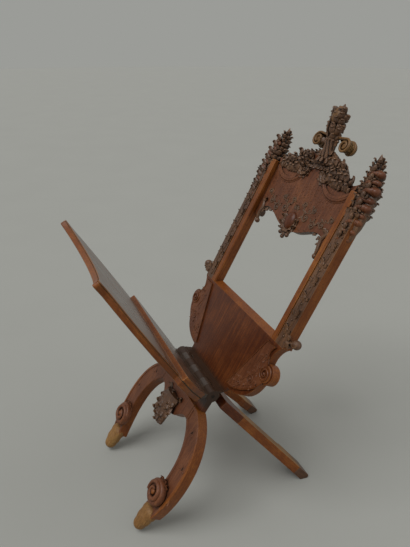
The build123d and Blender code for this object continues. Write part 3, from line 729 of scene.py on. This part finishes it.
class CHAIR_OT_finials(bpy.types.Operator):
    """Leafy flames on the stiles, with rolled leaves down their outer side"""

    bl_idname = "chair.finials"
    bl_label = "Finials"

    def execute(self, context):
        low, high = BACK.extent("right_finial")
        inner = BACK.extent("right_stile")[0].x
        flank, foot, face = BACK.extent("right_stile")[1]
        band = mix(inner, flank, BAND)
        tall = high.y - foot
        tip = BACK.tip("right_finial", 1)
        flame = Carving(BACK)

        # the stile's plain band runs up beside the foliage
        for left, right, end, top, rounding, finish in (
            (inner + 0.1, band, 0.3, 0.2, 2, 2), (band - 3, flank - 4, 0.2, 5, 3, 0),
        ):
            flame.block((left, foot - 1, low.z + 20), (right, foot + tall * end, face - top),
                        rounding, finish)

        # small rolled leaves close round a pointed core
        core = mix(band, flank, 0.36)
        spine = through(
            (core + 2, foot - 6, face - 23), (core, foot + tall * 0.35, face - 21),
            (mix(core, tip.x, 0.5), foot + tall * 0.68, face - 16), (tip.x, high.y - 7, tip.z),
        )

        def girth(t):
            return 22 * max(1 - t ** 1.7, 0.0) ** 0.9 + 1.2

        flame.tube(spine, girth, 18, 12, 0.75)
        flame.crockets(spine, girth, 10, 13, 22, 0.75, 3.0)
        flame.leaf(spine(0.8), tip - spine(0.8), high.y - spine(0.8).y - 1, 13, 2, 0.0, 0.03, 6)
        for lean, start, size in ((0.3, 0.72, 20), (-0.35, 0.66, 20), (-0.5, 0.5, 20),
                                  (0.05, 0.7, 22)):
            flame.leaf(spine(start) + 4 * OUT, (lean, 1, 0.05), size, 10, 2, 0.6)

        # knobs and rolled leaves down the stile's outer side
        trunk = through((flank - 8, low.y + 6, face - 17), (flank - 6, foot - 10, face - 19),
                        (flank - 6, foot + tall * 0.3, face - 19),
                        (flank - 16, foot + tall * 0.62, face - 17))
        flame.tube(trunk, taper(16, 0.5, 0.4), 20, 10, 0.8)
        for rise, out, radius in ((0.66, -7, 9.5), (0.53, -3, 7.5), (0.40, 3, 11.5), (0.25, 2, 8.5),
                                  (0.13, 4, 10.5), (0.0, 2, 8), (-0.11, 2, 9.5), (-0.27, -1, 8),
                                  (-0.41, -4, 6.5)):
            knob = Vector((flank + out, foot + tall * rise, face - 14))
            finger = through(*(knob + Vector(step) for step in (
                (-27, -12, 9), (-14, -3, 11), (-3, 0, 3), (2, -4, -4))))
            flame.tube(finger, lambda t: mix(4, radius * 0.95, min(t * 1.5, 1)), 14, 10, 0.9, 1)
            flame.ball(knob, radius, (1, 0.85, 1.1), 1)
            flame.petal(knob + Vector((-22, 2, 12)), (1, 0.6, 0.05), 24, 13)
            flame.petal(knob + Vector((-18, -12, 10)), (1, -0.5, -0.2), 20, 11, up=(0.4, 0, 1))
            flame.ball(knob + Vector((-6, -radius * 0.3, -radius * 1.2)), radius * 0.75)

        # small leaves that wrap the top of the stile's carved band
        for share in shares(3):
            flame.leaf((mix(band + 6, flank - 6, share), foot - 14, face - 1.5),
                       (mix(-0.2, 0.4, share), 1, 0.08), 26, 12, 2, 1.9)
        flame.show_pair("finial", "carved reddish rubbed")
        return {"FINISHED"}


class CHAIR_OT_crest(bpy.types.Operator):
    """Carved crest between the stiles: moulded hollows, foliage, scrolls, rosettes and pendant"""

    bl_idname = "chair.crest"
    bl_label = "Crest"

    def execute(self, context):
        sizes = context.scene.chair_sizes
        line = sizes.scroll_line / MM
        size = sizes.leaf_length / MM
        thick = sizes.leaf_thickness / MM
        low, high = BACK.extent("crest_panel")
        edge = high.x
        flower_low, flower_high = BACK.extent("right_rosette")
        flower = (flower_low + flower_high) / 2
        flower.z = face = flower_low.z
        crest = Carving(BACK, "crest_panel", 1.5)
        crest.paint(1, lambda centre, normal: normal.z > 0.9 and centre.y < flower.y)
        crest.mark()

        # mouldings along the hollow: a broad band between two beads
        hollow = Vector((edge - 60, flower.y + 24, face))
        for radius, width, height in ((61, 2.0, 1.2), (67, 4.4, 0.8), (73, 1.6, 1.0)):
            crest.tube(spiral(hollow, radius, radius, 118 / 360, 210), lambda t: width, 40, 8,
                       height, 1)

        # foliage that fills the hollow, tips rolled over into knobs
        def outline(x):
            return along(x, (22, high.y - 6), (76, high.y - 8), (120, flower.y + 6),
                         (140, flower.y))

        hand_cut = random.Random(5)
        reach = 56
        for row in range(5):
            for column in range(7):
                x = mix(34, 126, (column + 0.5 * (row % 2)) / 6.5) + hand_cut.uniform(-3, 3)
                y = hollow.y - reach + 14 * row + hand_cut.uniform(-3, 3)
                foot = Vector((x, y, face - 1))
                aside = hand_cut.uniform(-0.6, 0.6)
                long = size * hand_cut.uniform(0.7, 0.95)
                on_flower = (foot - flower + OUT).length < 14
                if on_flower or (foot - hollow).length > reach or outline(x) < y + 4:
                    continue
                crest.petal(foot, (aside + mix(-0.3, 0.4, column / 6), 1, 0.2), long * 1.05,
                            long * 0.55, 2.8)
                crest.petal(foot + Vector((5, 2, 1)), (0.9 - aside, 0.7, 0.15), long * 0.75,
                            long * 0.42, 2.8)
                crest.leaf(foot + Vector((-3, 1, 2)), (aside - 0.8, 0.8, 0.1), long * 0.8,
                           long * 0.5, 2, 1.6, 0.14, thick)
        for share in shares(7):
            x = mix(28, 122, share)
            crest.leaf((x, outline(x) - 12, face - 7), (hand_cut.uniform(-0.4, 0.6), 1, 0.0),
                       size * mix(0.75, 0.5, share), 15, 2, 1.9, 0.1, 5)

        # pointed leaves that stand above the crest's top
        for x, y, lean, long in ((65, high.y - 18, 0.05, 24), (74, high.y - 20, 0.2, 18),
                                 (124, flower.y - 2, 0.0, 27)):
            crest.leaf((x, y, face - 6), (lean, 1, 0.0), long, 11, 2, 0.3, 0.08, 4.5)

        # long leaves that spread from the plume's foot down to the rosettes
        for row, (start, long, count) in enumerate(((high.y + 14, 50, 5), (high.y - 8, 38, 4))):
            for share in shares(count):
                crest.leaf((mix(1, 20, share), start - 6 * share, face - 4 + 3 * row),
                           (mix(0.05, 0.8, share), -1, 0.04), long, 15, 3, 1.8, 0.06, thick + 1)
        for share in shares(4):
            crest.leaf((mix(20, 46, share), high.y - mix(2, 12, share), face - 6),
                       (mix(0.2, 0.7, share), 1, 0.0), 20, 13, 2, 1.5, thick=thick)

        # leaves round the rosette
        for index in range(9):
            outward = compass(140 + 36 * index, 0.05)
            crest.leaf(flower + 13 * outward, outward, 16, 11, 2, 1.9, thick=thick)

        # vine scrolls round the pendant, and a fine low vine on the open field
        for x, y, radius, start, hand, leaves in (
            (47, 487, 13, 60, 1, 3), (80, 478, 11, 160, -1, 3), (112, 489, 10, 40, 1, 3),
            (26, 515, 8, 300, -1, 2), (66, 512, 8, 120, 1, 2), (136, 508, 8, 240, -1, 2),
        ):
            crest.scroll((x, y, face), radius, start, hand, 1.5, line * mix(0.75, 1.1, radius / 13),
                         leaves)
        for row, (y, count) in enumerate(((528, 5), (543, 6), (558, 3), (506, 4))):
            for index in range(count):
                x = mix(8 + 6 * (row % 2), 138, index / 5)
                hand = 1 if (index + row) % 2 else -1
                spot = Vector((x, y + 4 * math.sin(2 * index), face - 0.3))
                crest.tube(spiral(spot, 6.5, 1.5, 1.25 * hand, 70 * index + 40 * row),
                           taper(line * 0.55), 20, 6, 0.7, 1)
                for turn in (30, 150, 270):
                    outward = compass(turn + 40 * index, 0.02)
                    crest.leaf(spot + 5 * outward, outward, 9, 6, 2, 0.5, 0.02, 1.0, 1)

        # leaves along the lower edge, and the hooked brackets at the stiles
        for share in shares(7):
            sag = 14 * math.sin(math.pi * share)
            crest.leaf((mix(edge * 0.2, edge * 0.84, share), low.y + 26 + sag, face - 2),
                       (mix(-0.3, 0.6, share), -1, 0.02), 14, 12, 2, 1.9, thick=thick)
        hook = through((edge - 10, low.y + 50, face - 1), (edge - 24, low.y + 30, face),
                       (edge - 20, low.y + 4, face), (edge - 22, low.y - 12, face - 3))
        crest.tube(hook, taper(5.5, 0.6, 0.7), 26)
        crest.ball((edge - 22, low.y - 12, face - 4), 7)
        crest.leaf((edge - 22, low.y + 28, face - 1), (-0.5, -1, 0.05), 22, 12, curl=2.0)
        crest.leaf((edge - 8, low.y + 44, face), (-1, 0.35, 0.1), 28, 13, curl=1.4)
        crest.mirror()
        crest.show("crest_panel", "carved reddish")

        rosette = Carving(BACK)
        rosette.tube(spiral(flower + 2 * OUT, 15.5, 15.5, 1, 0), lambda t: 3.8, 36, squash=1.1)
        for index in range(9):
            outward = compass(40 * index)
            rosette.petal(flower + 11 * outward, outward + OUT * 0.5, 12, 9, 2.0)
        rosette.lathe(((0, -1), (12, -1), (12, 2.5), (10, 2.5), (7, 0.5), (0, 0.2)), flower, 24)
        rosette.tube(spiral(flower + 1.5 * OUT, 7, 2, 1.3, 60, 1.5), taper(1.9), 24)
        rosette.ball(flower + 3 * OUT, 2.6)
        rosette.show_pair("rosette", "carved")

        low, high = BACK.extent("crest_pendant")
        pendant = Carving(BACK)
        heart = Vector((0, mix(low.y, high.y, 0.6), face))
        pendant.ball(heart, 1, (19, 24, 10), 1)
        for count, reach, long, lift in ((9, 1.0, 24, 0.0), (8, 0.8, 19, 3.0)):
            for share in shares(count):
                outward = compass(mix(172, 368, share), 0.05)
                foot = heart + Vector((14 * outward.x, 21 * outward.y, lift - 1)) * reach
                pendant.leaf(foot, outward, long, 16, 2, 2.0, 0.12, thick + 0.5)
        for x in (-15, 0, 15):
            pendant.ball((x, low.y + 12 + abs(x) * 0.5, face + 1), 5.5)
        for hand in (-1, 1):
            pendant.leaf((9 * hand, high.y - 10, face), (-0.4 * hand, 1, 0.05), 18, 12)
        pendant.show("crest_pendant", "carved polished")
        return {"FINISHED"}


class CHAIR_OT_plume(bpy.types.Operator):
    """Leafy bud that rises from the crest, between two rolled volutes"""

    bl_idname = "chair.plume"
    bl_label = "Plume and volutes"

    def execute(self, context):
        low, high = BACK.extent("crest_plume")
        panel_low, panel_high = BACK.extent("crest_panel")
        ground = (panel_low.z + panel_high.z) / 2
        lean = high.z - 9 - ground
        bud = Carving(BACK)

        def axis(t):
            return Vector((0, mix(low.y - 6, high.y - 7, t), ground + lean * t))

        def girth(t):
            return along(t, (0, 21), (0.2, 13.5), (0.36, 15), (0.5, 20), (0.62, 18.5), (0.78, 20.5),
                         (0.92, 12), (1, 2.5))

        def above(t):
            return mix(0.36, 0.96, t)

        def around(degrees, x, z):
            spot = compass(degrees)
            return Vector((x * spot.x, 0, z * spot.y))

        # small leaves close round the bud, with a smooth cap over them
        bud.tube(axis, girth, 26, 16, 0.6)
        bud.crockets(lambda t: axis(above(t)), lambda t: girth(above(t)), 6, 16, 23, 0.6, 2.7, 0.4)
        cap = axis(0.79) + Vector((-1, 0, 8))
        bud.ball(cap, 1, (17, 22, 11), 1)
        for share in shares(6):
            outward = compass(mix(-60, 240, share), -0.2)
            bud.petal(cap + 13 * outward - 3 * OUT, outward, 15, 13)
        for hand in (-1, 1):
            bud.tube(spiral(axis(0.52) + Vector((13 * hand, 0, 9)), 8, 2, 1.3 * hand, 90, 2),
                     taper(2.8), 24, squash=1.2)

        # twisted strands below the bud, each with a leaf, under a ring of beads
        for index in range(9):
            def strand(t, turn=40 * index):
                level = 0.02 + 0.4 * t
                return axis(level) + 0.98 * girth(level) * around(turn + 60 * t, 1, 0.72)

            bud.tube(strand, taper(3.4, 0.9, 0.6), 16, 6)
            bud.leaf(strand(0.1), strand(0) - strand(0.4), 22, 11, 2, 1.6)
        for index in range(10):
            bud.ball(axis(0.36) + around(36 * index, 16, 11), 3.4)
        bud.tube(through(axis(0.9), axis(0.96), axis(1) + Vector((1, 2, 0))),
                 lambda t: mix(6, 1.5, t), 8)
        bud.show("crest_plume", "carved tawny")

        low, high = BACK.extent("right_volute")
        radius = (high.y - low.y) / 2 + 3
        eye = Vector((high.x - radius - 5, mix(low.y, high.y, 0.6), ground))
        turns = spiral(eye, radius, 5, -1.6, 105)
        volute = Carving(BACK)

        def strap(t):
            if t < 0.25:
                return Vector((8, eye.y + radius - 4, ground)).lerp(turns(0), t / 0.25)
            return turns((t - 0.25) / 0.75)

        volute.ribbon(strap, lambda t: mix(16, 26, min(t * 2.5, 1)) * mix(1, 0.8, t), 6.0, 48)
        volute.ball(eye, radius - 4, (1, 1, 0.85))
        for level in (-11, 11):
            volute.tube(lambda t: strap(t) + level * mix(0.7, 1, min(t * 2.5, 1)) * OUT,
                        lambda t: 3.2, 48)
        volute.leaf((8, eye.y + 2, ground + 9), (1, -0.1, 0.05), 30, 16, curl=1.9, finish=1)
        volute.leaf((10, eye.y - 14, ground + 5), (0.5, -1, 0.1), 24, 14, curl=1.8, finish=1)
        volute.show_pair("volute", "tawny carved")
        return {"FINISHED"}


class CHAIR_OT_ears(bpy.types.Operator):
    """Small ball scrolls at the feet of the stiles"""

    bl_idname = "chair.ears"
    bl_label = "Ears"

    def execute(self, context):
        low, high = BACK.extent("right_ear")
        radius = (high.y - low.y) / 2
        middle = mix(low.z, high.z, 0.5)
        knob = Vector((high.x - radius, low.y + radius, middle))
        ear = Carving(BACK)
        neck = through((low.x - 2, knob.y - 12, middle),
                       (mix(low.x, knob.x, 0.5), knob.y - 7, middle), knob)
        ear.tube(neck, lambda t: mix(9, 6.5, t), 16, 10)
        ear.ball(knob, radius - 1)
        ear.tube(spiral(knob + 6 * OUT, radius - 3, 2, 1.2, 180, 3), taper(2.4), 24)
        ear.leaf((low.x, knob.y - 20, high.z - 2), (1, 0.7, 0.1), 26, 15, curl=1.5)
        ear.leaf((low.x - 4, knob.y - 4, high.z - 1), (0.9, 0.9, 0.1), 20, 13, curl=1.2)
        ear.show_pair("ear", "carved")
        return {"FINISHED"}


class CHAIR_OT_front_legs(bpy.types.Operator):
    """Apron and arched front legs, with sunk faces, spiral bosses, toes and the carved drop"""

    bl_idname = "chair.front_legs"
    bl_label = "Front legs"

    def execute(self, context):
        face = FRONT.extent("right_front_leg")[1].z
        sunk = 2.2
        leg = Carving(FRONT, "right_front_leg", 3.0, 3)
        leg.mould([leg.face_at(face)], ((5.0, 0.0), (1.6, -sunk)), 1)
        rim = [vert.co.copy() for vert in leg.bm.verts]

        def inside(centre, normal):
            outer = max(point.x for point in rim if abs(point.y - centre.y) < 12)
            return normal.z > 0.3 and centre.x < outer - 8 and centre.z > face - sunk + 0.2

        leg.paint(1, inside)
        for x, y, turn in ((146, -89, 250), (180, -164, 272), (191, -251, 285)):
            # the middle leaf of each spray is thin and near black
            for fork, long, cut, lobes, finish in (
                (-24, 26, 1.0, 2, 1), (0, 22, 0.5, 1, 2), (24, 26, 1.0, 2, 1),
            ):
                leg.leaf((x - 3, y + 12, face - sunk - 0.2), compass(turn + fork), long, 10, lobes,
                         0.2, 0.03, cut, finish)
        leg.show_pair("front_leg", "rubbed reddish sooted")

        apron = Carving(FRONT, "apron", 2.0)
        apron.paint(1, lambda centre, normal: normal.z > 0.5)
        apron.show("apron", "rubbed reddish sooted")

        low, high = FRONT.extent("right_leg_scroll")
        radius = (high.x - low.x) / 2
        depth = high.z - low.z
        centre = Vector((low.x + radius, low.y + radius, low.z))
        boss = Carving(FRONT)
        boss.lathe(
            ((0, 0), (radius - 1, 0), (radius, 2), (radius, depth * 0.45),
             (radius - 3, depth * 0.62), (radius - 7, depth * 0.66), (0, depth * 0.5)),
            centre, 48,
        )
        boss.tube(spiral(centre + depth * 0.58 * OUT, radius - 6, 8, -1.4, 215, 4),
                  taper(6.0, 0.8, 0.55), 60, 10, 1.2)
        boss.ball(centre + depth * 0.7 * OUT, 7.5, (1, 1, 0.8), 1)
        for turn in (60, 88, 116):
            outward = compass(turn)
            boss.leaf(centre + (radius - 12) * outward + 3 * OUT, outward, 22, 14, 2, 1.6)
        boss.show_pair("leg_scroll", "reddish rubbed")

        low, high = FRONT.extent("right_toe")
        middle = (low.x + high.x) / 2
        toe = Carving(FRONT)
        pad = Vector((middle, low.y + 30, mix(low.z, high.z, 0.42)))
        for step, stretch in (((0, 27, -3), (27, 21, 19)), ((-2, 8, 0), (22, 26, 20)),
                              ((-4, -10, 1), (17, 20, 18))):
            toe.ball(pad + Vector(step), 1, stretch)
        toe.cut(FRONT.place.inverted() @ Vector((middle * MM, 0, 0)),
                FRONT.place.to_3x3().inverted() @ OUT, clear=True)
        bmesh.ops.holes_fill(toe.bm, edges=[e for e in toe.bm.edges if e.is_boundary])
        for piece in toe.show_pair("toe", "worn", "worn", "worn_walnut"):
            skin = piece.modifiers.new("One skin", "REMESH")
            skin.mode = "VOXEL"
            skin.voxel_size = 2 * MM
            skin.use_smooth_shade = True
            rubbed = piece.modifiers.new("Rubbed round", "SMOOTH")
            rubbed.factor = 0.5
            rubbed.iterations = 14

        low, high = FRONT.extent("apron_drop")
        base = low.z
        drop = Carving(FRONT)
        body = through((0, high.y - 6, base + 2), (0, mix(low.y, high.y, 0.5), base + 6),
                       (0, low.y + 8, base + 4))
        drop.tube(body, lambda t: mix(34, 22, t), 16, 14, 0.5)
        hand_cut = random.Random(3)
        for count, spread, level, long in ((4, 20, 18, 30), (4, 25, 34, 34), (4, 21, 50, 32),
                                           (3, 14, 66, 28)):
            for share in shares(count):
                heading = (mix(-0.35, 0.35, share) + hand_cut.uniform(-0.45, 0.45), -1, 0.05)
                swell = base + 5 + 6 * math.sin(math.pi * share) + hand_cut.uniform(-2, 2)
                drop.petal((mix(-spread, spread, share), high.y - level - hand_cut.uniform(-5, 5),
                            swell), heading, long * hand_cut.uniform(0.8, 1.2),
                           hand_cut.uniform(13, 20), hand_cut.uniform(2.2, 3.2))
        for share in shares(5):
            sag = 4 * math.sin(math.pi * share)
            drop.ball((mix(-17, 17, share), low.y + 10 - sag, base + 5), 6)
        top = Vector((0, high.y - 16, base + 5))
        drop.tube(spiral(top + 2 * OUT, 13, 3, 1.6, 90, 5), taper(3.4), 36, squash=1.1)
        drop.ball(top + 7 * OUT, 4.5)
        for hand in (-1, 1):
            drop.tube(spiral(top + Vector((25 * hand, -2, -2)), 10, 2.5, 1.3 * hand, 90, 3),
                      taper(3.0), 26, squash=1.1)
            drop.ball(top + Vector((25 * hand, -2, 1)), 4)
            drop.leaf(top + Vector((26 * hand, 6, -3)), (hand, 0.5, 0.05), 20, 14, curl=1.8)
        drop.show("apron_drop", "carved")
        return {"FINISHED"}


class CHAIR_OT_seat(bpy.types.Operator):
    """Polished plank seat with its knuckles and a grooved edge"""

    bl_idname = "chair.seat"
    bl_label = "Seat"

    def execute(self, context):
        rounding = context.scene.chair_sizes.edge_round / MM
        seat = Carving(SEAT, "seat_board", rounding, beyond=COMB_EDGE)
        levels = [vert.co.z for face in seat.bm.faces if face.calc_center_median().y > COMB_EDGE
                  for vert in face.verts]
        middle = mix(min(levels), max(levels), 0.5)
        channel = 1.6
        for level in (middle - channel, middle + channel):
            seat.cut((0, 0, level), OUT)
        seat.paint(1, lambda centre, normal: abs(normal.z) < 0.9 and centre.y > COMB_EDGE)
        grooved = [face for face in seat.bm.faces
                   if abs(face.normal.z) < 0.3 and face.calc_center_median().y > COMB_EDGE + 6
                   and abs(face.calc_center_median().z - middle) < channel]
        seat.mould(grooved, ((0.2, -2.2),), 2)
        seat.show("seat_board", "waxed rubbed carved", "polished", "plank_walnut")
        return {"FINISHED"}


class CHAIR_OT_rear_legs(bpy.types.Operator):
    """Rear rail, flat rear legs and their worn feet"""

    bl_idname = "chair.rear_legs"
    bl_label = "Rear legs"

    def execute(self, context):
        rounding = context.scene.chair_sizes.edge_round / MM
        rail = Carving(REAR, "rear_rail", rounding)
        rail.show("rear_rail", "polished", "polished", "plank_walnut")
        for _, word in SIDES:
            leg = Carving(REAR, f"{word}_rear_leg", rounding)
            leg.paint(1, lambda centre, normal: normal.z < 0.5)
            leg.show(f"{word}_rear_leg", "worn rubbed", "worn", "plank_walnut")
            foot = Carving(REAR, f"{word}_rear_foot", rounding * 1.5)
            foot.show(f"{word}_rear_foot", "carved", "worn", "worn_walnut")
        return {"FINISHED"}


class CHAIR_OT_pin(bpy.types.Operator):
    """Iron finish for the hinge pin, whose ends show in the outer knuckles"""

    bl_idname = "chair.pin"
    bl_label = "Hinge pin"

    def execute(self, context):
        pin = frame["nodes"]["hinge_pin"]
        pin.data.materials.clear()
        pin.data.materials.append(wrought_iron())
        return {"FINISHED"}


FLOOR_RADIUS = 20.0               # m, so that its rim is far behind the chair
CAMERA_SPOT = (1.0322, -0.4770, 1.1249)     # m
CAMERA_VIEW = (-0.8324, 0.3563, -0.4244)    # direction it looks in
CAMERA_LENS = 33.61               # mm, on a sensor 36 mm wide


class CHAIR_OT_stage(bpy.types.Operator):
    """Floor, background, lamps and camera"""

    bl_idname = "chair.stage"
    bl_label = "Stage"

    def execute(self, context):
        stage = context.scene.chair_stage

        def put(name, data, spot=(0, 0, 0), view=(0, 0, -1)):
            item = bpy.data.objects.new(name, data)
            item.location = spot
            item.rotation_mode = "QUATERNION"
            item.rotation_quaternion = Vector(view).to_track_quat("-Z", "Y")
            context.scene.collection.objects.link(item)
            return item

        bm = bmesh.new()
        bmesh.ops.create_circle(bm, cap_ends=True, segments=64, radius=FLOOR_RADIUS)
        mesh = bpy.data.meshes.new("studio_floor")
        bm.to_mesh(mesh)
        bm.free()
        mesh.materials.append(studio_cloth(stage.floor_colour))
        floor = put("studio_floor", mesh)

        world = bpy.data.worlds.new("studio")
        context.scene.world = world
        node = cleared(world)
        both = node("MixShader", (
            node("LightPath", out="Is Camera Ray"),
            node("Background", (linear("#fbfaf7"), stage.sky_light)),
            node("Background", (tuple(stage.wall_colour), 1.0)),
        ))
        node("OutputWorld", (both,))

        for name, towards, spread, strength in (
            ("key", (0.08, -0.62, 1.15), 38, stage.key_strength),
            ("fill", (1.0, 0.5, 0.9), 90, stage.key_strength * 0.2),
        ):
            lamp = bpy.data.lights.new(name, "SUN")
            lamp.angle = math.radians(spread)
            lamp.energy = strength
            put(name, lamp, Vector(towards) * 2, -Vector(towards))

        camera = bpy.data.cameras.new("camera")
        camera.lens = CAMERA_LENS
        camera.sensor_width = 36.0
        context.scene.camera = put("camera", camera, CAMERA_SPOT, CAMERA_VIEW)
        context.scene.view_settings.view_transform = "Standard"
        return {"FINISHED"}


PIECES = (
    CHAIR_OT_lower_panel, CHAIR_OT_stiles, CHAIR_OT_finials, CHAIR_OT_crest, CHAIR_OT_plume,
    CHAIR_OT_ears, CHAIR_OT_front_legs, CHAIR_OT_seat, CHAIR_OT_rear_legs, CHAIR_OT_pin,
    CHAIR_OT_stage,
)


class CHAIR_PT_panel(bpy.types.Panel):
    """Lists the chair's pieces and settings"""

    bl_idname = "CHAIR_PT_panel"
    bl_label = "Folding Chair"
    bl_space_type = "VIEW_3D"
    bl_region_type = "UI"
    bl_category = "Folding Chair"

    def draw(self, context):
        for group in (context.scene.chair_sizes, context.scene.chair_stage):
            for name in type(group).__annotations__:
                self.layout.prop(group, name)
        for piece in PIECES:
            self.layout.operator(piece.bl_idname)


CLASSES = (ChairSizes, ChairStage, *PIECES, CHAIR_PT_panel)


def register():
    for item in CLASSES:
        bpy.utils.register_class(item)
    bpy.types.Scene.chair_sizes = bpy.props.PointerProperty(type=ChairSizes)
    bpy.types.Scene.chair_stage = bpy.props.PointerProperty(type=ChairStage)


def unregister():
    del bpy.types.Scene.chair_stage
    del bpy.types.Scene.chair_sizes
    for item in reversed(CLASSES):
        bpy.utils.unregister_class(item)


def main():
    register()
    for piece in PIECES:
        group, name = piece.bl_idname.split(".")
        getattr(getattr(bpy.ops, group), name)()


if __name__ == "__main__":
    main()
